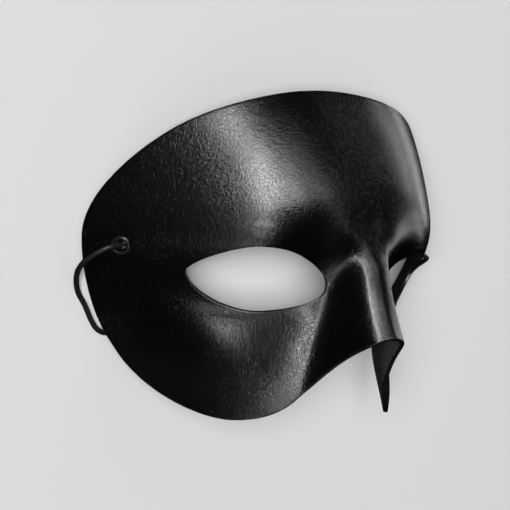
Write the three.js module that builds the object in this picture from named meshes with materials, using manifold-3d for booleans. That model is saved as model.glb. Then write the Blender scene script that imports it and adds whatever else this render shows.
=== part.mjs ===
// A moulded leather half mask: tall forehead, two eye holes, a nose arch and two cheek lobes,
// with a metal eyelet at each temple and an elastic cord knotted behind them.
// Millimetres. It lies on a table, hollow side down: +Z up, +Y towards the forehead edge, and the
// origin on the table under the middle of the leather.

import * as THREE from "three";
import { mergeVertices } from "three/addons/utils/BufferGeometryUtils.js";
import Module from "manifold-3d";

const wasm = await Module();
wasm.setup();

// Leather
const THICKNESS = 1.8;
const EDGE_CHAMFER = 0.4;

// Half outline in face view, x outwards from the middle, y up the face. Each bend of the edge has
// a place, a heading in degrees and the reach of the curve before and after it.
const OUTLINE = [
  { x: 0, y: 65.5, heading: 0, before: 17.4, after: 17.4 }, // forehead
  { x: 59.2, y: 52.2, heading: -29.8, before: 19.5, after: 15.5 }, // shoulder
  { x: 88.9, y: 12.6, heading: -90, before: 13.5, after: 13.4 }, // temple
  { x: 68.4, y: -34.2, heading: -114.7, before: 14.8, after: 19.5 }, // jaw
  { x: 40.5, y: -58.4, heading: -180, before: 7, after: 24.6 }, // cheek lobe
  { x: 0, y: -28.2, heading: -180, before: 20.1, after: 20.1 }, // nose arch
];

// Eye hole, going round from the outer corner over the top
const EYE_HOLE = [
  { x: 60.1, y: -3, heading: 109.7, before: 9, after: 5.6 }, // outer corner
  { x: 44.3, y: 5.2, heading: 181.5, before: 3.3, after: 13.8 }, // upper lid
  { x: 15.9, y: -11, heading: -71.5, before: 9.8, after: 4.5 }, // inner corner
  { x: 35.6, y: -18.4, heading: -0.1, before: 5.5, after: 7.6 }, // lower lid
];
const OUTER_CORNER_ARRIVAL = 68; // heading at which the lower lid comes back to the outer corner
const EYE_CENTRE = new THREE.Vector2(37, -6);

// Wrap of the leather round the head: slope, half width of the flat front and squareness of the
// bend, at the forehead and at the cheeks, with the heights between which one turns into the other
const FOREHEAD_WRAP = { slope: 1.37, flat: 51.5, square: 3.6 };
const CHEEK_WRAP = { slope: 1.13, flat: 21.3, square: 1.4 };
const WRAP_TOP = 24;
const WRAP_BOTTOM = -38;

// The forehead leans back above the brow
const LEAN_ROUND = 20;
const LEAN = 0.005;

// Nose: height at the arch, where it starts, flat top and foot of its sides
const NOSE_HEIGHT = 14;
const NOSE_START = 3.7;
const NOSE_END = -27;
const NOSE_EASE = 0.08;
const NOSE_TOP_HALF = 4.7;
const NOSE_FOOT_HALF = 11.7;
const NOSE_SPREAD = 9.7;
const NOSE_SPREAD_LIMIT = 1.7;

// Soft swellings and hollows: height, place, reach and turn in degrees
const SWELLINGS = [
  { height: 7, x: 0, y: 0.5, reachX: 38, reachY: 16.5, turn: 0 }, // brow
  { height: -10.5, x: 21, y: -4.5, reachX: 14.5, reachY: 15, turn: 0 }, // eye socket
  { height: 6.8, x: 40, y: -49.5, reachX: 25, reachY: 20.5, turn: 0 }, // cheek
  { height: 1.9, x: 41.5, y: -29, reachX: 18.5, reachY: 8, turn: 3 }, // under the eye
  { height: 2.2, x: 26, y: -31.5, reachX: 9.5, reachY: 12.5, turn: 0 }, // beside the nostril
  { height: 1, x: 22.5, y: 22.5, reachX: 32, reachY: 13, turn: -17 }, // side of the forehead
  { height: -1.4, x: 0, y: 12, reachX: 8.5, reachY: 8, turn: 0 }, // dip between the brows
  { height: 0.9, x: 20.5, y: -21.5, reachX: 8, reachY: 21, turn: -10 }, // fold down from the eye
  { height: 1.5, x: 15.5, y: 6.5, reachX: 8, reachY: 8, turn: 0 }, // inner end of the brow
  { height: 1.6, x: 24.5, y: -13.5, reachX: 8, reachY: 18.5, turn: -40 }, // inner lower lid
  { height: 3.5, x: 52.5, y: -24, reachX: 14, reachY: 8, turn: 45 }, // cheekbone
];

// Mesh of the leather
const COLUMNS_OUTLINE = 54;
const COLUMNS_MIDDLE = 16;
const ROWS = 9;

// Eyelet: a place on the mask's right half in face view, and its own sizes
const EYELET = {
  x: 78.6,
  y: 6,
  hole: 4.4,
  barrel: 5,
  flange: 7.4,
  roll: 0.9,
  backFlange: 6.8,
  backHeight: 0.5,
};
const EYELET_HOLE = 5.8;
const GAP = 0.3;
const ROUND_SIDES = 24;

// Rest on the table: the mask is tipped towards its forehead edge
const REST_TILT = 16.4;

// Elastic cord: it comes out of the left eyelet's front, arcs down to the table, lies along the
// rim, goes in under the jaw, crosses under the forehead and comes back the same way on the right
const CORD_DIAMETER = 2;
const CORD_SIDES = 8;
const CORD_STEPS = 80;
const LYING = CORD_DIAMETER / 2 + 0.05; // height of its middle on the table
const CORD_ROUTE = [
  [-75.3, -3.5, 9.05], // behind the left eyelet
  [-76.95, -3.9, 10.6],
  [-78.6, -4.3, 12.15],
  [-79.9, -4.6, 13.3],
  [-85.9, -4.7, 14.8],
  [-89.3, -7.1, 13.3],
  [-91.6, -11.5, 9.7],
  [-91, -15.8, 6],
  [-88.8, -20.3, 3],
  [-85.6, -25.4, 1.2], // down on the table
  [-81.2, -30.6, LYING],
  [-77, -36.4, LYING],
  [-73.5, -39.9, LYING], // under the left jaw
  [-69, -41.2, LYING],
  [-64.2, -38.7, LYING],
  [-61, -32, LYING],
  [-59, -18, LYING],
  [-54, -2, LYING],
  [-43, 12, LYING],
  [-24, 20.5, LYING],
  [0, 23, LYING],
  [24, 20.5, LYING],
  [43, 12, LYING],
  [54, -2, LYING],
  [59, -18, LYING],
  [61, -32, LYING],
  [64.2, -38.7, LYING],
  [69, -41.2, LYING],
  [73.5, -39.9, LYING], // under the right jaw
  [77, -36.4, LYING],
  [81, -30.4, LYING],
  [84.3, -24, LYING],
  [87.3, -17.6, 1.3],
  [88.9, -12.8, 3.3],
  [88.2, -9.2, 7.6],
  [85.2, -6.7, 12.1],
  [83.3, -5.8, 13.6],
  [81.1, -5, 13.7],
  [79, -4.4, 12.55],
  [76.95, -3.9, 10.6],
  [75.3, -3.5, 9.05], // behind the right eyelet
];
const KNOT = { diameter: 5.6, length: 4.6, mouth: 1.6, slack: 2.3 }; // slack: its way off the eyelet

// Leather shape in face view

// A step from 0 to 1 between two places, with no corner at either end.
function smoothStep(from, to, value) {
  const t = THREE.MathUtils.clamp((value - from) / (to - from), 0, 1);
  return t * t * t * (t * (6 * t - 15) + 10);
}

const bell = (offset, reach) => Math.exp(-((offset / reach) ** 2));

// A swelling, alike on both sides of the middle.
function swelling({ height, x, y, reachX, reachY, turn }, px, py) {
  const angle = THREE.MathUtils.degToRad(turn);
  const one = (across) => {
    const along = across * Math.cos(angle) + (py - y) * Math.sin(angle);
    const over = (py - y) * Math.cos(angle) - across * Math.sin(angle);
    return bell(along, reachX) * bell(over, reachY);
  };
  return height * (x === 0 ? one(px) : one(px - x) + one(-px - x));
}

// Height of the leather's outer face over the plane of the face, at any point of the front view.
function outerHeight(x, y) {
  const side = Math.abs(x);
  const down = smoothStep(-WRAP_TOP, -WRAP_BOTTOM, -y);
  const between = (key) => THREE.MathUtils.lerp(FOREHEAD_WRAP[key], CHEEK_WRAP[key], down);
  const flat = between("flat");
  const square = between("square");
  const wrap = between("slope") * flat * ((1 + (side / flat) ** square) ** (1 / square) - 1);

  const up = 0.5 * (y + Math.hypot(y, LEAN_ROUND)) - 0.5 * LEAN_ROUND;
  const lean = LEAN * up * Math.abs(up);

  const along = (NOSE_START - y) / (NOSE_START - NOSE_END);
  const rise = 0.5 * (along + Math.hypot(along, NOSE_EASE));
  const spread = NOSE_SPREAD_LIMIT * Math.tanh(rise / NOSE_SPREAD_LIMIT);
  const foot = NOSE_FOOT_HALF + NOSE_SPREAD * spread;
  const nose = NOSE_HEIGHT * rise * (1 - smoothStep(NOSE_TOP_HALF, foot, side));

  const soft = SWELLINGS.reduce((sum, one) => sum + swelling(one, side, y), 0);
  return nose + soft - wrap - lean;
}

// Outward normal of the leather, from its slopes.
function outerNormal(x, y) {
  const step = 0.05;
  const slopeX = (outerHeight(x + step, y) - outerHeight(x - step, y)) / (2 * step);
  const slopeY = (outerHeight(x, y + step) - outerHeight(x, y - step)) / (2 * step);
  return new THREE.Vector3(-slopeX, -slopeY, 1).normalize();
}

// A point at a depth under the outer face. The middle line stays in the middle.
function leatherPoint(place, depth) {
  const point = new THREE.Vector3(place.x, place.y, outerHeight(place.x, place.y));
  point.addScaledVector(outerNormal(place.x, place.y), -depth);
  if (place.x === 0) point.x = 0;
  return point;
}

// Outline and eye hole as smooth curves

const heading = (degrees) =>
  new THREE.Vector2(
    Math.cos(THREE.MathUtils.degToRad(degrees)),
    Math.sin(THREE.MathUtils.degToRad(degrees)),
  );

// The curve from one bend to the next.
function bendToBend(from, to, arrival) {
  const start = new THREE.Vector2(from.x, from.y);
  const end = new THREE.Vector2(to.x, to.y);
  return new THREE.CubicBezierCurve(
    start,
    start.clone().addScaledVector(heading(from.heading), from.after),
    end.clone().addScaledVector(heading(arrival), -to.before),
    end,
  );
}

const outline = new THREE.CurvePath();
OUTLINE.slice(1).forEach((bend, i) => {
  outline.add(bendToBend(OUTLINE[i], bend, bend.heading));
});

const eyeHole = new THREE.CurvePath();
EYE_HOLE.forEach((bend, i) => {
  const next = EYE_HOLE[(i + 1) % EYE_HOLE.length];
  const arrival = next === EYE_HOLE[0] ? OUTER_CORNER_ARRIVAL : next.heading;
  eyeHole.add(bendToBend(bend, next, arrival));
});

// The eye hole's edge in the direction of a point, seen from the middle of the eye.
const EYE_SAMPLES = 720;
const eyePoints = eyeHole.getSpacedPoints(EYE_SAMPLES).slice(0, EYE_SAMPLES);
function eyeEdgeTowards(place) {
  const aim = place.clone().sub(EYE_CENTRE).normalize();
  for (let i = 0; i < EYE_SAMPLES; i++) {
    const a = eyePoints[i].clone().sub(EYE_CENTRE);
    const b = eyePoints[(i + 1) % EYE_SAMPLES].clone().sub(EYE_CENTRE);
    const sideA = aim.cross(a);
    const sideB = aim.cross(b);
    if (sideA <= 0 && sideB > 0 && a.dot(aim) > 0) {
      return a.lerp(b, sideA / (sideA - sideB)).add(EYE_CENTRE);
    }
  }
  throw new Error("the eye hole has no edge in that direction");
}

// Columns of the leather's mesh on the right half: each runs from the eye hole to the outline, or
// to the middle line, where the two halves meet.
function leatherColumns() {
  const columns = [];
  for (let i = 0; i <= COLUMNS_OUTLINE; i++) {
    const t = i / COLUMNS_OUTLINE;
    const edge = outline.getPointAt(t);
    const along = outline.getTangentAt(t);
    const inwards = new THREE.Vector2(along.y, -along.x);
    const onMiddle = i === 0 || i === COLUMNS_OUTLINE;
    if (onMiddle) inwards.set(0, i === 0 ? -1 : 1);
    if (onMiddle) edge.x = 0;
    columns.push({ edge, inset: edge.clone().addScaledVector(inwards, EDGE_CHAMFER), cut: true });
  }
  const top = columns[0].inset;
  const arch = columns[COLUMNS_OUTLINE].inset;
  for (let i = 1; i < COLUMNS_MIDDLE; i++) {
    const place = arch.clone().lerp(top, i / COLUMNS_MIDDLE);
    columns.push({ edge: place, inset: place, cut: false });
  }
  for (const column of columns) {
    column.eye = eyeEdgeTowards(column.inset);
    const outwards = column.inset.clone().sub(EYE_CENTRE).normalize();
    column.eyeInset = column.eye.clone().addScaledVector(outwards, EDGE_CHAMFER);
  }
  return columns;
}

// Points of one column, from the outer face's rim at the eye, out to the outline, over the cut
// edge and back along the inner face. A column that ends on the middle line has no cut edge.
function columnPoints(column) {
  const face = (depth) =>
    Array.from({ length: ROWS + 1 }, (_, row) =>
      leatherPoint(column.eyeInset.clone().lerp(column.inset, row / ROWS), depth),
    );
  const cutEdge = (place) => [
    leatherPoint(place, EDGE_CHAMFER),
    leatherPoint(place, THICKNESS - EDGE_CHAMFER),
  ];
  return {
    outer: face(0),
    inner: face(THICKNESS),
    rim: column.cut ? cutEdge(column.edge) : [],
    lid: cutEdge(column.eye),
  };
}

// Triangles as plain corner lists, welded into one closed geometry.
function weld(corners) {
  const positions = corners.flatMap((corner) => corner.toArray());
  const geometry = new THREE.BufferGeometry();
  geometry.setAttribute("position", new THREE.Float32BufferAttribute(positions, 3));
  return mergeVertices(geometry, 1e-3);
}

function leatherGeometry() {
  const columns = leatherColumns().map(columnPoints);
  const half = [];
  const quad = (a, b, c, d) => half.push(a, b, c, a, c, d);
  columns.forEach((column, i) => {
    const next = columns[(i + 1) % columns.length];
    for (let row = 0; row < ROWS; row++) {
      quad(column.outer[row], next.outer[row], next.outer[row + 1], column.outer[row + 1]);
      quad(column.inner[row + 1], next.inner[row + 1], next.inner[row], column.inner[row]);
    }
    const lid = ({ outer, lid: [front, back], inner }) => [inner[0], back, front, outer[0]];
    const rim = ({ outer, rim: [front, back], inner }) => [outer[ROWS], front, back, inner[ROWS]];
    const strips = [[lid(column), lid(next)]];
    if (column.rim.length && next.rim.length) strips.push([rim(column), rim(next)]);
    for (const [here, there] of strips) {
      for (let step = 0; step < 3; step++) {
        quad(here[step], there[step], there[step + 1], here[step + 1]);
      }
    }
  });
  const mirrored = [];
  const flip = (corner) => new THREE.Vector3(-corner.x, corner.y, corner.z);
  for (let i = 0; i < half.length; i += 3) {
    mirrored.push(flip(half[i]), flip(half[i + 2]), flip(half[i + 1]));
  }
  return weld([...half, ...mirrored]);
}

// Joining and cutting

function toSolid(geometry) {
  const bare = geometry.clone();
  for (const name of Object.keys(bare.attributes)) {
    if (name !== "position") bare.deleteAttribute(name);
  }
  const merged = mergeVertices(bare, 1e-3);
  return new wasm.Manifold(
    new wasm.Mesh({
      numProp: 3,
      vertProperties: new Float32Array(merged.attributes.position.array),
      triVerts: new Uint32Array(merged.index.array),
    }),
  );
}

function toGeometry(solid) {
  const { vertProperties, triVerts } = solid.getMesh();
  const geometry = new THREE.BufferGeometry();
  geometry.setAttribute("position", new THREE.BufferAttribute(vertProperties, 3));
  geometry.setIndex(new THREE.BufferAttribute(triVerts, 1));
  geometry.computeVertexNormals();
  return geometry;
}

// Places on the mask

const SIDES = { right: 1, left: -1 };

// An object that stands on the leather at an eyelet, its own +Z out of the leather.
function atEyelet(side) {
  const holder = new THREE.Object3D();
  holder.position.set(side * EYELET.x, EYELET.y, outerHeight(EYELET.x, EYELET.y));
  const out = outerNormal(side * EYELET.x, EYELET.y);
  holder.quaternion.setFromUnitVectors(new THREE.Vector3(0, 0, 1), out);
  holder.updateMatrix();
  return holder;
}

function maskShell() {
  let solid = toSolid(leatherGeometry());
  for (const side of Object.values(SIDES)) {
    const punch = new THREE.CylinderGeometry(EYELET_HOLE / 2, EYELET_HOLE / 2, 12, ROUND_SIDES);
    punch.rotateX(Math.PI / 2).applyMatrix4(atEyelet(side).matrix);
    solid = solid.subtract(toSolid(punch));
  }
  return toGeometry(solid);
}

// One eyelet: a rolled flange in front, a barrel through the leather and a flange behind.
function eyeletGeometry() {
  const { hole, barrel, flange, roll, backFlange, backHeight } = EYELET;
  const back = -THICKNESS - GAP;
  const profile = [
    [hole / 2, back - backHeight],
    [backFlange / 2, back - backHeight],
    [backFlange / 2, back],
    [barrel / 2, back],
    [barrel / 2, GAP],
    [flange / 2, GAP],
    [flange / 2, GAP + 0.5 * roll],
    [flange / 2 - 0.3 * roll, GAP + 0.9 * roll],
    [(flange + hole) / 4, GAP + roll],
    [hole / 2 + 0.3 * roll, GAP + 0.85 * roll],
    [hole / 2, GAP + 0.4 * roll],
    [hole / 2, back - backHeight],
  ];
  const points = profile.map(([radius, height]) => new THREE.Vector2(radius, height));
  return new THREE.LatheGeometry(points, ROUND_SIDES).rotateX(Math.PI / 2);
}

// A knot behind an eyelet: a round lump with flat ends, its own +Z towards the eyelet.
function knotGeometry() {
  const { diameter, length, mouth } = KNOT;
  const rings = 6;
  const points = [new THREE.Vector2(0, -length)];
  for (let i = 0; i <= rings; i++) {
    const swell = Math.sin((Math.PI * i) / rings);
    const radius = THREE.MathUtils.lerp(mouth / 2, diameter / 2, swell);
    points.push(new THREE.Vector2(radius, (i / rings - 1) * length));
  }
  points.push(new THREE.Vector2(0, 0));
  return new THREE.LatheGeometry(points, CORD_SIDES * 2).rotateX(Math.PI / 2);
}

function cordGeometry() {
  const points = CORD_ROUTE.map(([x, y, z]) => new THREE.Vector3(x, y, z));
  const section = new THREE.Shape();
  for (let i = 0; i < CORD_SIDES; i++) {
    const turn = (2 * Math.PI * i) / CORD_SIDES;
    const x = (CORD_DIAMETER / 2) * Math.cos(turn);
    const y = (CORD_DIAMETER / 2) * Math.sin(turn);
    if (i === 0) section.moveTo(x, y);
    else section.lineTo(x, y);
  }
  return new THREE.ExtrudeGeometry(section, {
    steps: CORD_STEPS,
    extrudePath: new THREE.CatmullRomCurve3(points),
  });
}

// Materials

const MATERIALS = {
  leather: new THREE.MeshStandardMaterial({ color: 0x0d0d0e, roughness: 0.42, metalness: 0 }),
  eyelet: new THREE.MeshStandardMaterial({ color: 0x101011, roughness: 0.25, metalness: 0.6 }),
  elastic: new THREE.MeshStandardMaterial({ color: 0x141414, roughness: 0.6, metalness: 0 }),
};

function piece(name, geometry, material) {
  const mesh = new THREE.Mesh(geometry, material);
  mesh.name = name;
  return mesh;
}

// The mask in face view, turned to lie on the table

const mask = new THREE.Group();
mask.add(piece("mask_shell", maskShell(), MATERIALS.leather));
for (const [name, side] of Object.entries(SIDES)) {
  const holder = atEyelet(side);
  holder.add(piece("eyelet_" + name, eyeletGeometry(), MATERIALS.eyelet));
  const knot = piece("cord_knot_" + name, knotGeometry(), MATERIALS.elastic);
  knot.position.z = -THICKNESS - GAP - EYELET.backHeight - KNOT.slack;
  holder.add(knot);
  mask.add(holder);
}
mask.rotation.x = -THREE.MathUtils.degToRad(REST_TILT);
mask.updateMatrixWorld(true);
const shellBox = new THREE.Box3().setFromObject(mask.children[0], true);
mask.position.set(0, -(shellBox.min.y + shellBox.max.y) / 2, -shellBox.min.z);

const object = new THREE.Group();
object.add(mask);
object.add(piece("elastic_cord", cordGeometry(), MATERIALS.elastic));

export default object;
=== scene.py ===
"""A moulded black leather half mask that lies on a pale table, hollow side down.

Thin semi-gloss leather with a fine grain, a cut edge and a plainer flesh side, a black metal eyelet
at each temple and one braided elastic cord, knotted behind both eyelets. Sizes are in millimetres
in the fields of the classes, and each mesh is in metres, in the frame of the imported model.
"""

import logging
import math
from collections.abc import Callable, Sequence
from dataclasses import dataclass, field
from enum import Enum
from functools import cached_property

import bpy
import numpy as np
from bpy.types import Material, NodeSocket, Object
from mathutils import Matrix, Vector


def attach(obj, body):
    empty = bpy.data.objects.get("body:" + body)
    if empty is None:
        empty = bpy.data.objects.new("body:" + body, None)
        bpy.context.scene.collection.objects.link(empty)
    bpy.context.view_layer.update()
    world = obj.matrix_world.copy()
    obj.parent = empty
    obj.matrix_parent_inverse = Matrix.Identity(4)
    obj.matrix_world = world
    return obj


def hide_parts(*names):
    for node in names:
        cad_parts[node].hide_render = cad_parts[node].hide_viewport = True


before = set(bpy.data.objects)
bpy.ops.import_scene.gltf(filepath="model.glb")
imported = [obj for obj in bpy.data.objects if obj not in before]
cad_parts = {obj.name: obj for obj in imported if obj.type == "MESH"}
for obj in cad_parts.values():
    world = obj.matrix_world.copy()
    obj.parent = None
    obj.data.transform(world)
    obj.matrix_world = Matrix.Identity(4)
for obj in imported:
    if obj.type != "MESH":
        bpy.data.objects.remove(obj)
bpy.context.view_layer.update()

log = logging.getLogger("leather_mask")

MM = 0.001

Point = tuple[float, float, float]
Place = tuple[float, float]


# Nodes and expressions on their sockets


def math_method(operation: str) -> Callable[..., "Value"]:
    """A method of Value that adds one Math node.

    Args:
        operation: The node's operation.

    Returns:
        The method, which takes the values of the node's further inputs.
    """

    def method(value: "Value", *others: "Value | float") -> "Value":
        """Gives the result of the Math node on this value and the others."""
        return value.graph.math(operation, value, *others)

    return method


class Value:
    """A number that varies, held by a node's output socket, with Python's own operators."""

    def __init__(self, graph: "Graph", socket: NodeSocket) -> None:
        """Wraps an output socket of a node that the graph owns."""
        self.graph = graph
        self.socket = socket

    __add__ = __radd__ = math_method("ADD")
    __sub__ = math_method("SUBTRACT")
    __mul__ = __rmul__ = math_method("MULTIPLY")
    __truediv__ = math_method("DIVIDE")
    __pow__ = math_method("POWER")
    __abs__ = math_method("ABSOLUTE")
    cosine = math_method("COSINE")
    larger = math_method("MAXIMUM")

    def __rsub__(self, other: float) -> "Value":
        """Difference from a number on the left."""
        return self.graph.math("SUBTRACT", other, self)

    def step(self, start: float, end: float) -> "Value":
        """A smooth step of this value, from 0 at the start to 1 at the end."""
        smooth = {"interpolation_type": "SMOOTHSTEP"}
        return self.graph.value(
            "ShaderNodeMapRange", smooth, Value=self, From_Min=start, From_Max=end
        )


class Graph:
    """A node tree of a material, the world or a geometry modifier, with ways to add nodes."""

    def __init__(self, tree: bpy.types.NodeTree) -> None:
        """Wraps a tree and empties it."""
        self.tree = tree
        tree.nodes.clear()

    def node(self, kind: str, settings: dict | None = None, **inputs: object) -> bpy.types.Node:
        """Adds a node.

        Args:
            kind: The node's type.
            settings: What is set on the node before its sockets, such as its operation. A
                "stops" entry holds the (position, colour) pairs of a colour ramp.
            inputs: Values or links by socket name, with _ for a space, or by number as i0, i1.

        Returns:
            The node.
        """
        node = self.tree.nodes.new(kind)
        for name, value in (settings or {}).items():
            if name == "stops":
                ramp = node.color_ramp.elements
                while len(ramp) < len(value):
                    ramp.new(1.0)
                for element, (position, colour) in zip(ramp, value):
                    element.position = position
                    element.color = colour
            else:
                setattr(node, name, value)
        for name, value in inputs.items():
            number = name[1:]
            key = int(number) if name[0] == "i" and number.isdigit() else name.replace("_", " ")
            self.feed(node.inputs[key], value)
        return node

    def feed(self, socket: NodeSocket, value: object) -> None:
        """Links or sets one input.

        Args:
            socket: The input socket.
            value: A Value, an output socket, or a plain value for the socket itself.
        """
        if isinstance(value, Value):
            self.tree.links.new(value.socket, socket)
        elif isinstance(value, NodeSocket):
            self.tree.links.new(value, socket)
        else:
            socket.default_value = value

    def value(
        self, kind: str, settings: dict | None = None, output: str | int = 0, **inputs: object
    ) -> Value:
        """Adds a node, as node() does, and gives one of its outputs by name or number."""
        return Value(self, self.node(kind, settings, **inputs).outputs[output])

    def math(self, operation: str, *values: "Value | float") -> Value:
        """Adds a Math node with its inputs in order and gives its result."""
        numbered = {f"i{i}": value for i, value in enumerate(values)}
        return self.value("ShaderNodeMath", {"operation": operation}, **numbered)

    def vector(self, operation: str, *values: object, **inputs: object) -> NodeSocket:
        """Adds a Vector Math node, as math() does, with its other inputs by name."""
        numbered = {f"i{i}": value for i, value in enumerate(values)}
        settings = {"operation": operation}
        return self.node("ShaderNodeVectorMath", settings, **numbered, **inputs).outputs[0]


class Surface(Graph):
    """The node tree of one material, on a Principled surface."""

    def __init__(self, name: str) -> None:
        """Makes an empty material.

        Args:
            name: The material's name.
        """
        self.material = bpy.data.materials.new(name)
        self.material.use_nodes = True
        super().__init__(self.material.node_tree)
        self.place = self.node("ShaderNodeTexCoord").outputs["Object"]

    def stretched(self, scale: Point, turn: Point = (0.0, 0.0, 0.0)) -> NodeSocket:
        """Object coordinates, turned by angles in degrees and then scaled."""
        node = self.node(
            "ShaderNodeMapping",
            Vector=self.place,
            Scale=scale,
            Rotation=tuple(math.radians(angle) for angle in turn),
        )
        return node.outputs[0]

    def noise(
        self, size: float, detail: float = 2.0, rough: float = 0.5, place: object = None
    ) -> Value:
        """Soft noise round 0.5, with patches of a size in millimetres and finer layers on them."""
        return self.value(
            "ShaderNodeTexNoise",
            Vector=place if place is not None else self.place,
            Scale=1 / (size * MM),
            Detail=detail,
            Roughness=rough,
        )

    def wander(self, size: float, reach: float, place: object = None) -> NodeSocket:
        """Coordinates that wander a little, so that a regular pattern looks natural.

        Args:
            size: Size of the bends in millimetres.
            reach: How far a point wanders, in millimetres.
            place: The coordinates, or Object coordinates where none are given.

        Returns:
            The vector socket.
        """
        start = place if place is not None else self.place
        noise = self.node("ShaderNodeTexNoise", Vector=start, Scale=1 / (size * MM), Detail=1.0)
        centred = self.vector("SUBTRACT", noise.outputs["Color"], (0.5, 0.5, 0.5))
        return self.vector("ADD", start, self.vector("SCALE", centred, Scale=2 * reach * MM))

    def cells(self, size: float, place: object, feature: str = "F1") -> Value:
        """Distance in a pattern of cells, which are of a size in millimetres."""
        settings = {"feature": feature}
        scale = 1 / (size * MM)
        return self.value("ShaderNodeTexVoronoi", settings, "Distance", Vector=place, Scale=scale)

    def blend(self, share: Value, low: Point, high: Point) -> NodeSocket:
        """A colour between two others: the first for a share of 0, the second for 1."""
        # The node has inputs for numbers and vectors too: 6, 7 and output 2 are its colours
        settings = {"data_type": "RGBA", "clamp_factor": True}
        node = self.node("ShaderNodeMix", settings, i0=share, i6=(*low, 1.0), i7=(*high, 1.0))
        return node.outputs[2]

    def bumps(self, layers: Sequence[tuple[Value, float]]) -> NodeSocket:
        """Bump from several heights, one on the other.

        Args:
            layers: Each height, from 0 to 1, with its depth in millimetres.

        Returns:
            The normal socket.
        """
        normal: object = None
        for height, depth in layers:
            node = self.node("ShaderNodeBump", Height=height, Distance=depth * MM, Strength=1.0)
            if normal is not None:
                self.feed(node.inputs["Normal"], normal)
            normal = node.outputs[0]
        return normal

    def finish(self, **inputs: object) -> Material:
        """Ends the tree in a Principled surface with these sockets."""
        shader = self.node("ShaderNodeBsdfPrincipled", **inputs)
        self.node("ShaderNodeOutputMaterial", Surface=shader.outputs[0])
        return self.material


class Pattern(Graph):
    """The node tree of a geometry modifier, with named inputs and one geometry output."""

    def __init__(self, name: str, **inputs: str) -> None:
        """Makes the tree.

        Args:
            name: The tree's name.
            inputs: The kind of each input by its name, such as Float or Material.
        """
        super().__init__(bpy.data.node_groups.new(name, "GeometryNodeTree"))
        sockets = self.tree.interface
        sockets.new_socket("Geometry", in_out="OUTPUT", socket_type="NodeSocketGeometry")
        for socket, kind in inputs.items():
            sockets.new_socket(socket, in_out="INPUT", socket_type=f"NodeSocket{kind}")
        self.given = self.node("NodeGroupInput").outputs

    def number(self, name: str) -> Value:
        """One of the tree's own inputs."""
        return Value(self, self.given[name])

    def stored(self, geometry: NodeSocket, name: str, value: object) -> NodeSocket:
        """Keeps a number on each point of a geometry, under a name."""
        return self.node(
            "GeometryNodeStoreNamedAttribute",
            {"data_type": "FLOAT", "domain": "POINT"},
            Geometry=geometry,
            Name=name,
            Value=value,
        ).outputs[0]

    def named(self, name: str) -> Value:
        """A number that is kept on the points."""
        return self.value("GeometryNodeInputNamedAttribute", {"data_type": "FLOAT"}, Name=name)

    def end(self, geometry: NodeSocket, finish: str) -> None:
        """Ends the tree in real geometry, with the material that the named input gives."""
        real = self.node("GeometryNodeRealizeInstances", Geometry=geometry).outputs[0]
        dressed = self.node("GeometryNodeSetMaterial", Geometry=real, Material=self.given[finish])
        self.node("NodeGroupOutput", Geometry=dressed.outputs[0])

    def put_on(self, piece: Object, **inputs: object) -> None:
        """Puts the tree on a piece.

        Args:
            piece: The piece.
            inputs: Values of the tree's inputs by name.
        """
        modifier = piece.modifiers.new(self.tree.name, "NODES")
        modifier.node_group = self.tree
        for socket in self.tree.interface.items_tree:
            if socket.in_out == "INPUT" and socket.name in inputs:
                modifier[socket.identifier] = inputs[socket.name]


# Finishes


@dataclass(frozen=True)
class GrainLeather:
    """The outer face: black semi-gloss leather with a fine pebbled grain and short wrinkles."""

    colour: Point = (0.0008, 0.0008, 0.0009)
    worn: Point = (0.0016, 0.0016, 0.0017)
    gloss: float = 0.185
    pebble: float = 0.8
    pebble_depth: float = 0.014
    wrinkle: float = 1.35
    wrinkle_depth: float = 0.023
    pore_depth: float = 0.003

    def material(self) -> Material:
        """Builds the material."""
        look = Surface("grain_leather")
        bent = look.wander(size=1.6, reach=0.3)
        pebbles = look.cells(self.pebble, bent, "SMOOTH_F1")
        furrows = look.cells(self.pebble * 1.7, bent, "DISTANCE_TO_EDGE").step(start=0.0, end=0.2)
        wrinkles = abs(look.noise(self.wrinkle, place=look.wander(size=2.4, reach=0.5)) - 0.5)
        ridges = wrinkles.step(start=0.0, end=0.11)
        pores = look.noise(size=0.25, rough=0.6)
        slow = look.noise(size=18.0)
        rough = self.gloss + (1 - furrows) * 0.06 + (slow - 0.5) * 0.03 + pebbles * 0.03
        return look.finish(
            Base_Color=look.blend(furrows * pores * 1.2, self.colour, self.worn),
            Roughness=rough,
            Normal=look.bumps(
                [
                    (ridges, self.wrinkle_depth),
                    (1 - pebbles, self.pebble_depth),
                    (furrows, self.pebble_depth * 0.5),
                    (pores, self.pore_depth),
                ]
            ),
            IOR=1.5,
        )


@dataclass(frozen=True)
class CutEdge:
    """The cut edge of the leather: dyed and burnished, with faint layers along it."""

    colour: Point = (0.004, 0.004, 0.0042)
    fibre: Point = (0.011, 0.0108, 0.0105)
    gloss: float = 0.2

    def material(self) -> Material:
        """Builds the material."""
        look = Surface("cut_leather_edge")
        fibres = look.noise(size=0.5, detail=3.0, rough=0.65)
        return look.finish(
            Base_Color=look.blend(fibres.step(start=0.4, end=0.75), self.colour, self.fibre),
            Roughness=self.gloss + fibres * 0.1,
            Normal=look.bumps([(fibres, 0.006)]),
            IOR=1.5,
        )


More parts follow.
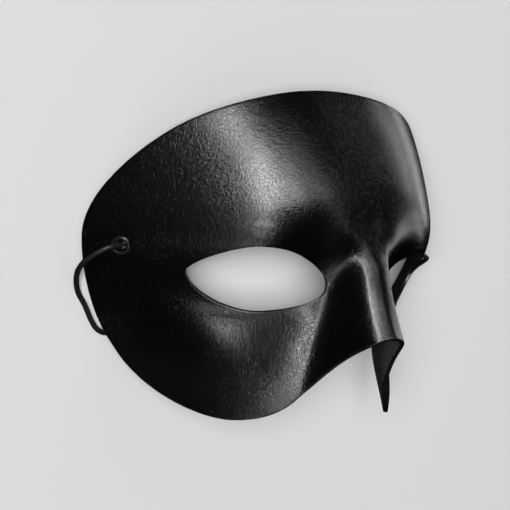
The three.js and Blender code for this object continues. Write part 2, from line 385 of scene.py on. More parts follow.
@dataclass(frozen=True)
class FleshSide:
    """The inside of the mask: dyed flesh side, matt and softly fibrous."""

    colour: Point = (0.02, 0.02, 0.0205)
    nap: Point = (0.055, 0.054, 0.054)
    matt: float = 0.62

    def material(self) -> Material:
        """Builds the material."""
        look = Surface("leather_flesh_side")
        bent = look.wander(size=1.6, reach=0.4)
        nap = look.noise(size=0.35, detail=4.0, rough=0.7, place=bent)
        clouds = look.noise(size=16.0, detail=3.0)
        drawn_out = look.stretched(scale=(1.0, 0.3, 1.0), turn=(0, 20, 55))
        fibres = look.noise(size=0.8, detail=3.0, rough=0.6, place=drawn_out)
        return look.finish(
            Base_Color=look.blend(nap * clouds * 1.9, self.colour, self.nap),
            Roughness=self.matt + (clouds - 0.5) * 0.12,
            Normal=look.bumps([(fibres, 0.04), (nap, 0.04)]),
        )


@dataclass(frozen=True)
class BlackEnamel:
    """The eyelets' finish: baked black enamel on brass, a little rubbed."""

    colour: Point = (0.008, 0.008, 0.009)
    rubbed: Point = (0.03, 0.03, 0.032)
    gloss: float = 0.24

    def material(self) -> Material:
        """Builds the material."""
        look = Surface("black_enamel")
        specks = look.noise(size=0.25, detail=3.0, rough=0.6)
        slow = look.noise(size=2.5)
        return look.finish(
            Base_Color=look.blend(specks.step(start=0.58, end=0.75), self.colour, self.rubbed),
            Metallic=0.1 + specks.step(start=0.6, end=0.8) * 0.3,
            Roughness=self.gloss + slow * 0.1,
            Normal=look.bumps([(slow, 0.01), (specks, 0.004)]),
            Coat_Weight=0.3,
            Coat_Roughness=0.3,
        )


@dataclass(frozen=True)
class BraidedElastic:
    """Round elastic: a fine black braid of textured yarn over rubber."""

    # colour is painted shade for the grooves between the strands, yarn is the strands' own colour
    # on their crowns
    colour: Point = (0.003, 0.003, 0.0032)
    yarn: Point = (0.009, 0.009, 0.0094)
    matt: float = 0.42

    def material(self) -> Material:
        """Builds the material."""
        look = Surface("braided_elastic")
        braid = look.value("ShaderNodeAttribute", {"attribute_name": "braid"}, "Fac")
        fibres = look.noise(size=0.09, rough=0.6)
        return look.finish(
            # Darker where the braid dips between strands: painted shade in the grooves
            Base_Color=look.blend(braid * (0.6 + fibres * 0.6), self.colour, self.yarn),
            Roughness=self.matt + (1 - braid) * 0.2,
            Normal=look.bumps([(fibres, 0.008)]),
        )


@dataclass(frozen=True)
class PaleTable:
    """The plain pale surface that the mask lies on."""

    colour: Point = (0.72, 0.72, 0.72)
    matt: float = 0.9

    def material(self) -> Material:
        """Builds the material."""
        look = Surface("pale_table")
        mottle = look.noise(size=60.0)
        shade = tuple(0.985 * part for part in self.colour)
        return look.finish(
            Base_Color=look.blend(mottle, self.colour, shade),
            Roughness=self.matt,
            Specular_IOR_Level=0.0,
        )


# Meshes and lines


def add_object(name: str, data: bpy.types.ID) -> Object:
    """Makes an object at the origin and links it to the scene."""
    made = bpy.data.objects.new(name, data)
    bpy.context.scene.collection.objects.link(made)
    return made


def make_object(
    name: str, points: np.ndarray, faces: Sequence[Sequence[int]], smooth: bool = True
) -> Object:
    """Makes a mesh object at the origin.

    Args:
        name: The piece's name.
        points: Its corners in metres.
        faces: Its faces, as lists of corner numbers.
        smooth: Whether it is shaded smooth.

    Returns:
        The object, linked to the scene.
    """
    mesh = bpy.data.meshes.new(name)
    mesh.from_pydata([tuple(point) for point in points], [], [tuple(face) for face in faces])
    mesh.polygons.foreach_set("use_smooth", [smooth] * len(mesh.polygons))
    mesh.update()
    return add_object(name, mesh)


def plain_mesh(source: Object) -> Object:
    """Turns an object with modifiers into a plain one of the same name.

    Args:
        source: The object, which is removed.

    Returns:
        The object with its final mesh.
    """
    evaluated = source.evaluated_get(bpy.context.evaluated_depsgraph_get())
    mesh = bpy.data.meshes.new_from_object(evaluated)
    name = source.name
    bpy.data.objects.remove(source)
    mesh.name = name
    return add_object(name, mesh)


def lathe(profile: Sequence[Place], sides: int) -> tuple[np.ndarray, list[list[int]]]:
    """Turns a closed profile round the Z axis.

    Args:
        profile: (radius, height) pairs in order, the last one joined to the first.
        sides: How many steps the round has.

    Returns:
        Corners and faces of a ring, with its faces outwards for a profile that runs clockwise
        in the (radius, height) plane.
    """
    turn = np.linspace(0, 2 * math.pi, sides, endpoint=False)
    radius, height = np.array(profile, float).T
    x, y = np.outer(np.cos(turn), radius), np.outer(np.sin(turn), radius)
    points = np.stack([x, y, np.tile(height, (sides, 1))], axis=-1).reshape(-1, 3)
    count = len(profile)
    faces = []
    for side in range(sides):
        here, there = side * count, (side + 1) % sides * count
        for i in range(count):
            j = (i + 1) % count
            faces.append([here + i, here + j, there + j, there + i])
    return points, faces


def laid(points: np.ndarray, place: Matrix) -> np.ndarray:
    """Points in metres on the table, from millimetres in the frame of a place."""
    return np.array([place @ Vector(point) for point in points]) * MM


def unit(vectors: np.ndarray) -> np.ndarray:
    """Vectors of the same directions, each of length 1."""
    return vectors / np.linalg.norm(vectors, axis=-1, keepdims=True)


def run_along(line: np.ndarray) -> np.ndarray:
    """The length of a line up to each of its points."""
    return np.concatenate([[0], np.cumsum(np.linalg.norm(np.diff(line, axis=0), axis=1))])


def between(wanted: np.ndarray, run: np.ndarray, rows: np.ndarray) -> np.ndarray:
    """Rows of numbers at wanted places between those, in rising order, where they are given."""
    return np.stack([np.interp(wanted, run, column) for column in rows.T], axis=-1)


# Shape of the leather


class Side(Enum):
    """The two halves of the mask, by the sign of X."""

    RIGHT = 1
    LEFT = -1

    @property
    def word(self) -> str:
        """The side's name in the names of pieces."""
        return self.name.lower()


@dataclass(frozen=True)
class Bend:
    """One bend of a cut line in face view, in millimetres and degrees."""

    x: float
    y: float
    heading: float
    before: float
    after: float


@dataclass(frozen=True)
class Wrap:
    """How the leather bends back round the head."""

    slope: float
    flat: float
    square: float


@dataclass(frozen=True)
class Swelling:
    """A soft swelling or hollow, alike on both sides of the middle. Its turn is in degrees."""

    height: float
    x: float
    y: float
    reach_x: float
    reach_y: float
    turn: float = 0.0

    def over(self, x: np.ndarray, y: np.ndarray) -> np.ndarray:
        """Its height at places in face view."""
        c, s = math.cos(math.radians(self.turn)), math.sin(math.radians(self.turn))
        total = np.zeros_like(x)
        sides = (1,) if self.x == 0 else (1, -1)
        for side in sides:
            across, up = side * x - self.x, y - self.y
            along = (across * c + up * s) / self.reach_x
            over = (up * c - across * s) / self.reach_y
            total = total + np.exp(-(along**2) - over**2)
        return self.height * total


def smooth_step(start: float, end: float | np.ndarray, value: np.ndarray) -> np.ndarray:
    """A step from 0 to 1 with no corner at either end."""
    t = np.clip((value - start) / (end - start), 0, 1)
    return t * t * t * (t * (6 * t - 15) + 10)


@dataclass(frozen=True)
class FaceShape:
    """Height of the leather's outer face over the plane of the face, in face view.

    x runs across from the middle, y up the face and z out of it, in millimetres.
    """

    forehead: Wrap = Wrap(1.37, 51.5, 3.6)
    cheeks: Wrap = Wrap(1.13, 21.3, 1.4)
    wrap_top: float = 24
    wrap_bottom: float = -38
    lean: float = 0.005
    lean_round: float = 20.0
    nose_height: float = 14
    nose_start: float = 3.7
    nose_end: float = -27.0
    nose_ease: float = 0.08
    nose_top: float = 4.7
    nose_foot: float = 11.7
    nose_spread: float = 9.7
    nose_spread_limit: float = 1.7
    swellings: tuple[Swelling, ...] = (
        Swelling(7, 0, 0.5, 38, 16.5),  # brow
        Swelling(-10.5, 21, -4.5, 14.5, 15),  # eye socket
        Swelling(6.8, 40, -49.5, 25, 20.5),  # cheek
        Swelling(1.9, 41.5, -29, 18.5, 8, 3),  # under the eye
        Swelling(2.2, 26, -31.5, 9.5, 12.5),  # beside the nostril
        Swelling(1, 22.5, 22.5, 32, 13, -17),  # side of the forehead
        Swelling(-1.4, 0, 12, 8.5, 8),  # dip between the brows
        Swelling(0.9, 20.5, -21.5, 8, 21, -10),  # fold down from the eye
        Swelling(1.5, 15.5, 6.5, 8, 8),  # inner end of the brow
        Swelling(1.6, 24.5, -13.5, 8, 18.5, -40),  # inner lower lid
        Swelling(3.5, 52.5, -24, 14, 8, 45),  # cheekbone
    )
    tilt: float = 16.4

    def height(self, x: np.ndarray, y: np.ndarray) -> np.ndarray:
        """Height of the outer face.

        Args:
            x: Places across.
            y: Places up the face.

        Returns:
            The heights.
        """
        side = np.abs(x)
        down = smooth_step(-self.wrap_top, -self.wrap_bottom, -y)
        flat = self.forehead.flat + (self.cheeks.flat - self.forehead.flat) * down
        square = self.forehead.square + (self.cheeks.square - self.forehead.square) * down
        slope = self.forehead.slope + (self.cheeks.slope - self.forehead.slope) * down
        wrap = slope * flat * ((1 + (side / flat) ** square) ** (1 / square) - 1)
        up = 0.5 * (y + np.hypot(y, self.lean_round)) - 0.5 * self.lean_round
        along = (self.nose_start - y) / (self.nose_start - self.nose_end)
        rise = 0.5 * (along + np.hypot(along, self.nose_ease))
        spread = self.nose_spread_limit * np.tanh(rise / self.nose_spread_limit)
        foot = self.nose_foot + self.nose_spread * spread
        nose = self.nose_height * rise * (1 - smooth_step(self.nose_top, foot, side))
        soft = sum(swelling.over(x, y) for swelling in self.swellings)
        return nose + soft - wrap - self.lean * up * np.abs(up)

    def points(self, place: np.ndarray, depth: float | np.ndarray = 0.0) -> np.ndarray:
        """Points in the mask's own frame, at a depth under the outer face."""
        x, y = place[..., 0], place[..., 1]
        outer = np.stack([x, y, self.height(x, y)], axis=-1)
        return outer - np.asarray(depth)[..., None] * self.normal(place)

    def normal(self, place: np.ndarray) -> np.ndarray:
        """Outward normals of the outer face at places in face view."""
        x, y = place[..., 0], place[..., 1]
        step = 0.05
        slope_x = (self.height(x + step, y) - self.height(x - step, y)) / (2 * step)
        slope_y = (self.height(x, y + step) - self.height(x, y - step)) / (2 * step)
        return unit(np.stack([-slope_x, -slope_y, np.ones_like(x)], axis=-1))

    def turned(self, vectors: np.ndarray) -> np.ndarray:
        """Directions of the mask's own frame in the frame of the table."""
        c, s = math.cos(math.radians(self.tilt)), math.sin(math.radians(self.tilt))
        x, y, z = np.moveaxis(vectors, -1, 0)
        return np.stack([x, y * c + z * s, -y * s + z * c], axis=-1)


# Numbers of the leather's finishes
OUTER, CUT, FLESH = range(3)

# Points on the curve from one bend to the next
BEND_STEPS = 400


@dataclass
class MaskShell:
    """The leather: its outline, eye holes and thickness, and the mesh that shows it.

    rest is where the mask's own origin lies on the table. The rows of the mesh run from an eye hole
    outwards, and crowding is how much closer they lie at both ends.
    """

    shape: FaceShape = field(default_factory=FaceShape)
    rest: Point = (0.0, 3.355, 59.7)
    thickness: float = 1.8
    edge_round: float = 0.45
    back_round: float = 0.3
    outline: tuple[Bend, ...] = (
        Bend(0, 65.5, 0, 17.4, 17.4),
        Bend(59.2, 52.2, -29.8, 19.5, 15.5),
        Bend(88.9, 12.6, -90, 13.5, 13.4),
        Bend(68.4, -34.2, -114.7, 14.8, 19.5),
        Bend(40.5, -58.4, -180, 7, 24.6),
        Bend(0, -28.2, -180, 20.1, 20.1),
    )
    eye_hole: tuple[Bend, ...] = (
        Bend(60.1, -3, 109.7, 9, 5.6),
        Bend(44.3, 5.2, 181.5, 3.3, 13.8),
        Bend(15.9, -11, -71.5, 9.8, 4.5),
        Bend(35.6, -18.4, -0.1, 5.5, 7.6),
        Bend(60.1, -3, 68, 9, 5.6),
    )
    eye_centre: Place = (37.0, -6.0)
    eye_steps: int = 4000
    columns_outline: int = 280
    columns_middle: int = 72
    rows: int = 40
    crowding: float = 0.06
    eyelet_place: Place = (78.6, 6.0)
    eyelet_hole: float = 5.8
    punch_sides: int = 64
    punch_reach: float = 4.0

    def build(self) -> Object:
        """Builds the leather with its three finishes.

        Returns:
            The piece, in place of the plain solid.
        """
        points, faces, finishes = self._half()
        points, faces, finishes = self._both_halves(points, faces, finishes)
        piece = make_object("leather_shell", self._placed(points) * MM, faces)
        for finish in (GrainLeather(), CutEdge(), FleshSide()):
            piece.data.materials.append(finish.material())
        piece.data.polygons.foreach_set("material_index", finishes)
        piece = self._punched(piece)
        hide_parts("mask_shell")
        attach(piece, "root")
        return piece

    def _placed(self, points: np.ndarray) -> np.ndarray:
        """Points of the mask's own frame, laid on the table where the plain solid lies."""
        return self.shape.turned(points) + np.array(self.rest)

    def at_eyelet(self, side: Side) -> Matrix:
        """The place of an eyelet, its own Z out of the leather, in millimetres.

        Args:
            side: Which temple it sits in.

        Returns:
            The matrix from the eyelet's frame to the table's.
        """
        place = np.array([side.value * self.eyelet_place[0], self.eyelet_place[1]])
        out = Vector(self.shape.normal(place))
        spin = Vector((0, 0, 1)).rotation_difference(out).to_matrix()
        frame_axes = np.array([list(spin.col[i]) for i in range(3)])
        axes = self.shape.turned(frame_axes)
        centre = self._placed(self.shape.points(place))
        matrix = Matrix(np.column_stack([axes.T, centre]).tolist())
        return matrix.to_4x4()

    @staticmethod
    def _curve(bends: Sequence[Bend], count: int) -> tuple[np.ndarray, np.ndarray]:
        """A smooth cut line through its bends.

        Args:
            bends: The bends in order.
            count: How many even steps the line is cut into.

        Returns:
            Places on it and its directions.
        """
        t = np.linspace(0, 1, BEND_STEPS)[:, None]
        parts = []
        for start, end in zip(bends, bends[1:]):
            a, d = np.array([start.x, start.y]), np.array([end.x, end.y])
            leave, arrive = math.radians(start.heading), math.radians(end.heading)
            b = a + start.after * np.array([math.cos(leave), math.sin(leave)])
            c = d - end.before * np.array([math.cos(arrive), math.sin(arrive)])
            part = (1 - t) ** 3 * a + 3 * (1 - t) ** 2 * t * b + 3 * (1 - t) * t**2 * c + t**3 * d
            parts.append(part if not parts else part[1:])
        line = np.concatenate(parts)
        run = run_along(line)
        even = np.linspace(0, run[-1], count + 1)
        heading = unit(np.gradient(line, axis=0))
        return between(even, run, line), unit(between(even, run, heading))

    def _eye_towards(self, places: np.ndarray) -> tuple[np.ndarray, np.ndarray]:
        """The eye hole's edge in the direction of each place, seen from the middle of the eye.

        Args:
            places: Places outside the hole.

        Returns:
            Places on the edge and the directions out of the hole, into the leather.
        """
        centre = np.array(self.eye_centre)
        edge, along = self._curve(self.eye_hole, self.eye_steps)
        # The line closes on itself, so its last place is its first
        edge[-1], along[-1] = edge[0], along[0]
        angle = np.unwrap(np.arctan2(*(edge[:-1] - centre).T[::-1]))
        aim = np.arctan2(*(places - centre).T[::-1])
        aim = angle[0] + np.mod(aim - angle[0], 2 * math.pi)
        closed = np.append(angle, angle[0] + 2 * math.pi)
        heading = between(aim, closed, along)
        outwards = np.stack([heading[:, 1], -heading[:, 0]], axis=-1)
        return between(aim, closed, edge), unit(outwards)

    def _cut(self, edge: np.ndarray, inwards: np.ndarray) -> tuple[np.ndarray, np.ndarray]:
        """The rounded cut edge of the leather.

        Args:
            edge: Places of the cut in face view.
            inwards: Directions in face view from the cut into the leather.

        Returns:
            Where the flat outer face starts, and the rows of points over the edge, front first.
        """
        normal = self.shape.normal(edge)
        flat = np.concatenate([inwards, np.zeros((len(edge), 1))], axis=1)
        inner = unit(np.cross(np.cross(normal, flat), normal))
        top = self.shape.points(edge)
        front, back, deep = self.edge_round, self.back_round, self.thickness
        steps = [
            (front * (1 - math.sin(turn)), front * (1 - math.cos(turn)))
            for turn in np.radians([22.5, 45.0, 67.5, 90.0])
        ]
        steps += [
            (back * (1 - math.cos(turn)), deep - back * (1 - math.sin(turn)))
            for turn in np.radians([0.0, 45.0])
        ]
        rows = [top + inset * inner - drop * normal for inset, drop in steps]
        return edge + front * inner[:, :2], np.stack(rows, axis=1)

    def _half(self) -> tuple[np.ndarray, list[list[int]], list[int]]:
        """The right half of the leather as a grid of columns from the eye hole outwards.

        Returns:
            Points in the mask's own frame, faces, and the finish of each face.
        """
        edge, along = self._curve(self.outline, self.columns_outline)
        inwards = np.stack([along[:, 1], -along[:, 0]], axis=-1)
        for end, up in ((0, -1.0), (-1, 1.0)):
            edge[end, 0] = 0.0
            inwards[end] = (0.0, up)
        rim_start, rim = self._cut(edge, inwards)
        rim_start[[0, -1], 0] = 0.0
        rim[[0, -1], :, 0] = 0.0
        share = np.linspace(0, 1, self.columns_middle + 1)[1:-1, None]
        middle = rim_start[-1] + (rim_start[0] - rim_start[-1]) * share
        outer_place = np.vstack([rim_start, middle])
        eye_edge, into = self._eye_towards(outer_place)
        eye_start, lid = self._cut(eye_edge, into)

        steps = np.linspace(0, 1, self.rows + 1)
        steps = steps - self.crowding * np.sin(2 * math.pi * steps)
        places = eye_start[:, None] + (outer_place - eye_start)[:, None] * steps[None, :, None]
        outer = self.shape.points(places)
        inner = self.shape.points(places, self.thickness)
        on_middle = np.isclose(outer_place[:, 0], 0.0)
        outer[on_middle, -1, 0] = 0.0
        inner[on_middle, -1, 0] = 0.0

        columns, cut = len(outer_place), len(rim_start)
        rim_rows = np.concatenate([rim, np.zeros((columns - cut, rim.shape[1], 3))])
        table = np.concatenate([lid[:, ::-1], outer, rim_rows, inner[:, ::-1]], axis=1)
        width = table.shape[1]
        rim_first = lid.shape[1] + self.rows + 1
        rim_end = rim_first + rim.shape[1]
        index = np.arange(columns * width).reshape(columns, width)
        used = np.ones(columns * width, bool)
        used[index[cut:, rim_first:rim_end].ravel()] = False

        faces, finishes = [], []
        for here in range(columns):
            there = (here + 1) % columns
            whole = here < cut and there < cut and there > here
            for step in range(width):
                after = (step + 1) % width
                in_rim = rim_first - 1 <= step < rim_end
                if in_rim and not whole:
                    continue
                corners = (here, step), (there, step), (there, after), (here, after)
                faces.append([index[corner] for corner in corners])
                if in_rim or step < lid.shape[1] or step == width - 1:
                    finishes.append(CUT)
                else:
                    finishes.append(OUTER if step < rim_first else FLESH)
        numbers = np.cumsum(used) - 1
        faces = [[int(numbers[corner]) for corner in face] for face in faces]
        return table.reshape(-1, 3)[used], faces, finishes

    @staticmethod
    def _both_halves(
        points: np.ndarray, faces: list[list[int]], finishes: list[int]
    ) -> tuple[np.ndarray, list[list[int]], list[int]]:
        """Mirrors the right half and joins the two on the middle line.

        Args:
            points: Points of the right half.
            faces: Its faces.
            finishes: The finish of each face.

        Returns:
            The same for the whole.
        """
        shared = points[:, 0] == 0.0
        mirrored = np.where(shared, np.arange(len(points)), len(points) + np.cumsum(~shared) - 1)
        flipped = points[~shared] * np.array([-1.0, 1.0, 1.0])
        other = [[int(mirrored[corner]) for corner in face[::-1]] for face in faces]
        return np.vstack([points, flipped]), faces + other, finishes + finishes

    def _punched(self, piece: Object) -> Object:
        """Cuts the eyelets' holes.

        Args:
            piece: The leather.

        Returns:
            The leather with a hole at each temple.
        """
        sides, reach, radius = self.punch_sides, self.punch_reach, self.eyelet_hole / 2
        turn = np.linspace(0, 2 * math.pi, sides, endpoint=False)
        x, y = radius * np.cos(turn), radius * np.sin(turn)
        rings = [np.stack([x, y, np.full(sides, z)], axis=-1) for z in (reach, -reach)]
        faces = [[i + sides, (i + 1) % sides + sides, (i + 1) % sides, i] for i in range(sides)]
        faces += [list(range(sides)), list(range(2 * sides - 1, sides - 1, -1))]
        punches = []
        for side in Side:
            placed = laid(np.concatenate(rings), self.at_eyelet(side))
            punch = make_object(f"punch_{side.word}", placed, faces, smooth=False)
            cut = piece.modifiers.new("hole", "BOOLEAN")
            cut.operation = "DIFFERENCE"
            cut.solver = "EXACT"
            cut.object = punch
            punches.append(punch)
        piece = plain_mesh(piece)
        for punch in punches:
            bpy.data.objects.remove(punch)
        return piece


# Eyelets


@dataclass
class Eyelet:
    """A black metal eyelet: a rolled flange in front, a barrel, a washer and split tabs behind."""

    hole: float = 4.4
    barrel: float = 5.0
    flange: float = 7.4
    roll: float = 0.9
    washer: float = 6.8
    washer_height: float = 0.3
    wall: float = 0.22
    gap: float = 0.3
    leather: float = 1.8
    tabs: int = 8
    sides: int = 72

    def build(self, side: Side, shell: MaskShell) -> list[Object]:
        """Builds one eyelet.

        Args:
            side: Which temple it sits in.
            shell: The leather that carries it.

        Returns:
            Its pieces.
        """
        enamel = BlackEnamel().material()
        place = shell.at_eyelet(side)
        ring = self._turned(f"eyelet_ring_{side.word}", self._front_profile(), place, enamel)
        washer = self._turned(f"eyelet_washer_{side.word}", self._washer_profile(), place, enamel)
        tabs = self._tabs(side, place, enamel)
        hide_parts(f"eyelet_{side.word}")
        for piece in (ring, washer, tabs):
            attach(piece, "root")
        return [ring, washer, tabs]

    def _turned(self, name: str, profile: list[Place], place: Matrix, enamel: Material) -> Object:
        """A round part of the eyelet.

        Args:
            name: Its name.
            profile: Its section, clockwise in the (radius, height) plane.
            place: The eyelet's place.
            enamel: Its finish.

        Returns:
            The piece.
        """
        points, faces = lathe(profile, self.sides)
        piece = make_object(name, laid(points, place), faces)
        piece.data.materials.append(enamel)
        return piece

    def _front_profile(self) -> list[Place]:
        """The rolled flange and the barrel, clockwise from the back of the hole."""
        inner, outer = self.hole / 2, self.flange / 2
        middle, half = (inner + outer) / 2, (outer - inner) / 2
        low = self.gap * 0.4
        seat, ease = 0.25, 0.05
        lip, rise = low + seat, self.roll - 2 * ease
        back = -self.leather - self.gap
        barrel = inner + self.wall
        roll = [
            (middle - half * math.cos(turn), lip + rise * math.sin(turn))
            for turn in np.linspace(0, math.pi, 17)
        ]
        under = [(outer - 0.08, low + ease), (outer - 0.3, low), (barrel + 4 * ease, low)]
        tail = [(barrel, low - 3 * ease), (barrel, back), (inner, back)]
        return [*roll, *under, *tail]

    def _washer_profile(self) -> list[Place]:
        """The flat washer behind the leather."""
        inner, outer = self.barrel / 2, self.washer / 2
        top = -self.leather - self.gap * 0.3
        low = top - self.washer_height
        ease = 0.08
        return [
            (inner, low + ease),
            (inner, top),
            (outer - ease, top),
            (outer, top - ease),
            (outer, low + ease),
            (outer - ease, low),
            (inner + ease, low),
        ]

    def _tab_mesh(self) -> Object:
        """One tab: a strip of the barrel that curls outwards over the washer."""
        inner = self.hole / 2
        back = -self.leather - self.gap
        curl, outer_squash, inner_squash = 0.55, 0.62, 0.42
        middle = inner + self.wall + curl
        lift_at_tip = 0.25
        arc = np.linspace(math.pi, 2 * math.pi - lift_at_tip, 12)
        section = [
            (middle + size * math.cos(angle), back + size * squash * math.sin(angle))
            for size, squash in ((curl + self.wall, outer_squash), (curl, inner_squash))
            for angle in arc
        ]
        filled, taper = 0.9, 0.6
        spread = math.pi / self.tabs * filled
        turns = np.linspace(-spread, spread, 7)
        points, faces = [], []
        for turn in turns:
            for radius, height in section:
                angle = turn * (inner / radius) ** taper
                points.append((radius * math.cos(angle), radius * math.sin(angle), height))
        count, ring = len(arc), len(section)
        loop = list(range(count)) + list(range(ring - 1, count - 1, -1))
        for step in range(len(turns) - 1):
            here, there = step * ring, (step + 1) * ring
            for a, b in zip(loop, loop[1:] + loop[:1]):
                faces.append([here + a, here + b, there + b, there + a])
        last = (len(turns) - 1) * ring
        for i in range(count - 1):
            faces.append([i + 1, i, count + i, count + i + 1])
            faces.append([last + i, last + i + 1, last + count + i + 1, last + count + i])
        return make_object("tab_pattern", np.array(points) * MM, faces)

    def _tabs(self, side: Side, place: Matrix, enamel: Material) -> Object:
        """The split tabs, set round the hole.

        Args:
            side: Which temple they belong to.
            place: The eyelet's place.
            enamel: Their finish.

        Returns:
            The piece.
        """
        tab = self._tab_mesh()
        name = f"eyelet_tabs_{side.word}"
        tree = Pattern(name, Tab="Object", Tabs="Int", Enamel="Material")
        count = tree.given["Tabs"]
        ring = tree.node("GeometryNodeMeshCircle", Vertices=count, Radius=0.0).outputs[0]
        turn = tree.value("GeometryNodeInputIndex") * (2 * math.pi) / tree.number("Tabs")
        spin = tree.node("ShaderNodeCombineXYZ", Z=turn).outputs[0]
        shape = tree.node("GeometryNodeObjectInfo", Object=tree.given["Tab"]).outputs["Geometry"]
        round_hole = tree.node(
            "GeometryNodeInstanceOnPoints", Points=ring, Instance=shape, Rotation=spin
        ).outputs[0]
        tree.end(round_hole, "Enamel")
        holder = make_object(name, np.zeros((0, 3)), [])
        tree.put_on(holder, Tab=tab, Tabs=self.tabs, Enamel=enamel)
        piece = plain_mesh(holder)
        bpy.data.objects.remove(tab)
        piece.data.transform(Matrix.Scale(MM, 4) @ place @ Matrix.Scale(1 / MM, 4))
        return piece


# Elastic cord


@dataclass
class ElasticCord:
    """The elastic cord and the knot behind each eyelet."""

    diameter: float = 2.0
    strands: int = 8
    lay_length: float = 1.05
    relief: float = 0.07
    around: int = 32
    step: float = 0.25
    knot_wraps: float = 2.3
    knot_radius: float = 1.82
    knot_length: float = 4.6
    knot_depth: float = 4.9
    tail: float = 2.6
    route: tuple[Point, ...] = (
        (-75.3, -3.5, 9.05), (-76.95, -3.9, 10.6), (-78.6, -4.3, 12.15),
        (-79.9, -4.6, 13.3), (-85.9, -4.7, 14.8), (-89.3, -7.1, 13.3),
        (-91.6, -11.5, 9.7), (-91.0, -15.8, 6.0), (-88.8, -20.3, 3.0),
        (-85.6, -25.4, 1.2), (-81.2, -30.6, 1.05), (-77.0, -36.4, 1.05),
        (-73.5, -39.9, 1.05), (-69.0, -41.2, 1.05), (-64.2, -38.7, 1.05),
        (-61.0, -32.0, 1.05), (-59.0, -18.0, 1.05), (-54.0, -2.0, 1.05),
        (-43.0, 12.0, 1.05), (-24.0, 20.5, 1.05), (0.0, 23.0, 1.05),
        (24.0, 20.5, 1.05), (43.0, 12.0, 1.05), (54.0, -2.0, 1.05),
        (59.0, -18.0, 1.05), (61.0, -32.0, 1.05), (64.2, -38.7, 1.05),
        (69.0, -41.2, 1.05), (73.5, -39.9, 1.05), (77.0, -36.4, 1.05),
        (81.0, -30.4, 1.05), (84.3, -24.0, 1.05), (87.3, -17.6, 1.3),
        (88.9, -12.8, 3.3), (88.2, -9.2, 7.6), (85.2, -6.7, 12.1),
        (83.3, -5.8, 13.6), (81.1, -5.0, 13.7), (79.0, -4.4, 12.55),
        (76.95, -3.9, 10.6), (75.3, -3.5, 9.05),
    )

    def build(self, shell: MaskShell) -> list[Object]:
        """Builds the cord and its knots.

        Args:
            shell: The leather, which gives the eyelets' places.

        Returns:
            The pieces, the cord first.
        """
        elastic = BraidedElastic().material()
        line = self._smooth(np.array(self.route))
        cord = self._braided("elastic_cord_braid", line, elastic)
        knots = []
        for side in Side:
            path = self._knot_line(shell.at_eyelet(side))
            knot = self._braided(f"cord_knot_{side.word}_wraps", path, elastic)
            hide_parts(f"cord_knot_{side.word}")
            knots.append(knot)
        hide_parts("elastic_cord")
        for piece in (cord, *knots):
            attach(piece, "root")
        return [cord, *knots]

    def _smooth(self, corners: np.ndarray) -> np.ndarray:
        """One smooth curve through the route's points, as close even steps.

        Args:
            corners: The route's points.

        Returns:
            Points on the curve.
        """
        ends = [2 * corners[0] - corners[1], 2 * corners[-1] - corners[-2]]
        points = np.vstack([ends[0], corners, ends[1]])
        dense = [corners[0]]
        for p0, p1, p2, p3 in zip(points, points[1:], points[2:], points[3:]):
            steps = (p1 - p0, p2 - p1, p3 - p2)
            before, here, after = (math.sqrt(np.linalg.norm(step)) for step in steps)
            leave = (p1 - p0) / before - (p2 - p0) / (before + here) + (p2 - p1) / here
            arrive = (p2 - p1) / here - (p3 - p1) / (here + after) + (p3 - p2) / after
            leave, arrive = leave * here, arrive * here
            square = -3 * p1 + 3 * p2 - 2 * leave - arrive
            cube = 2 * p1 - 2 * p2 + leave + arrive
            for t in np.linspace(0, 1, 61)[1:]:
                dense.append(p1 + leave * t + square * t**2 + cube * t**3)
        return self._even(np.array(dense))

    def _even(self, line: np.ndarray) -> np.ndarray:
        """The same line in even steps."""
        run = run_along(line)
        even = np.linspace(0, run[-1], max(8, round(run[-1] / self.step)))
        return between(even, run, line)

    def _knot_line(self, place: Matrix) -> np.ndarray:
        """The line of a stopper knot: down the middle, wraps back up round it, and a short tail.

        Args:
            place: The eyelet's place.

        Returns:
            Points on the line.
        """
        top, radius, half = -self.knot_depth, self.knot_radius, self.diameter / 2
        whole_turn = 2 * math.pi * self.knot_wraps
        before, inside = 0.6, 0.4
        line = [(0.0, 0.0, top + before), (0.0, 0.0, top - inside)]
        # The wraps reach their full radius in the first seventh of their length
        for share in np.linspace(0, 1, 61):
            turn = whole_turn * share
            height = top - half - (self.knot_length - 2 * half) * share
            near = radius * min(1.0, share * 7)
            line.append((near * math.cos(turn), near * math.sin(turn), height))
        aim, slack = whole_turn + 0.9, 0.9
        out = np.array([math.cos(aim), math.sin(aim), 0.0])
        end = np.array(line[-1])
        for reach, drop in ((radius, 0.5), (radius + self.tail, 1.0)):
            line.append(tuple(end + out * reach * slack - np.array([0, 0, drop])))
        return self._even(np.array([place @ Vector(point) for point in line]))

    def _braided(self, name: str, line: np.ndarray, elastic: Material) -> Object:
        """A braided round cord along a line.

        Args:
            name: The piece's name.
            line: Points on its middle, in millimetres.
            elastic: Its finish.

        Returns:
            The piece, a closed tube.
        """
        mesh = bpy.data.meshes.new(name)
        edges = [(i, i + 1) for i in range(len(line) - 1)]
        mesh.from_pydata([tuple(point) for point in line * MM], edges, [])
        holder = add_object(name, mesh)
        self._braid.put_on(
            holder,
            Diameter=self.diameter * MM,
            Relief=self.relief * MM,
            Strands=self.strands,
            Lay=self.lay_length * MM,
            Elastic=elastic,
        )
        piece = plain_mesh(holder)
        piece.data.polygons.foreach_set("use_smooth", [True] * len(piece.data.polygons))
        return piece

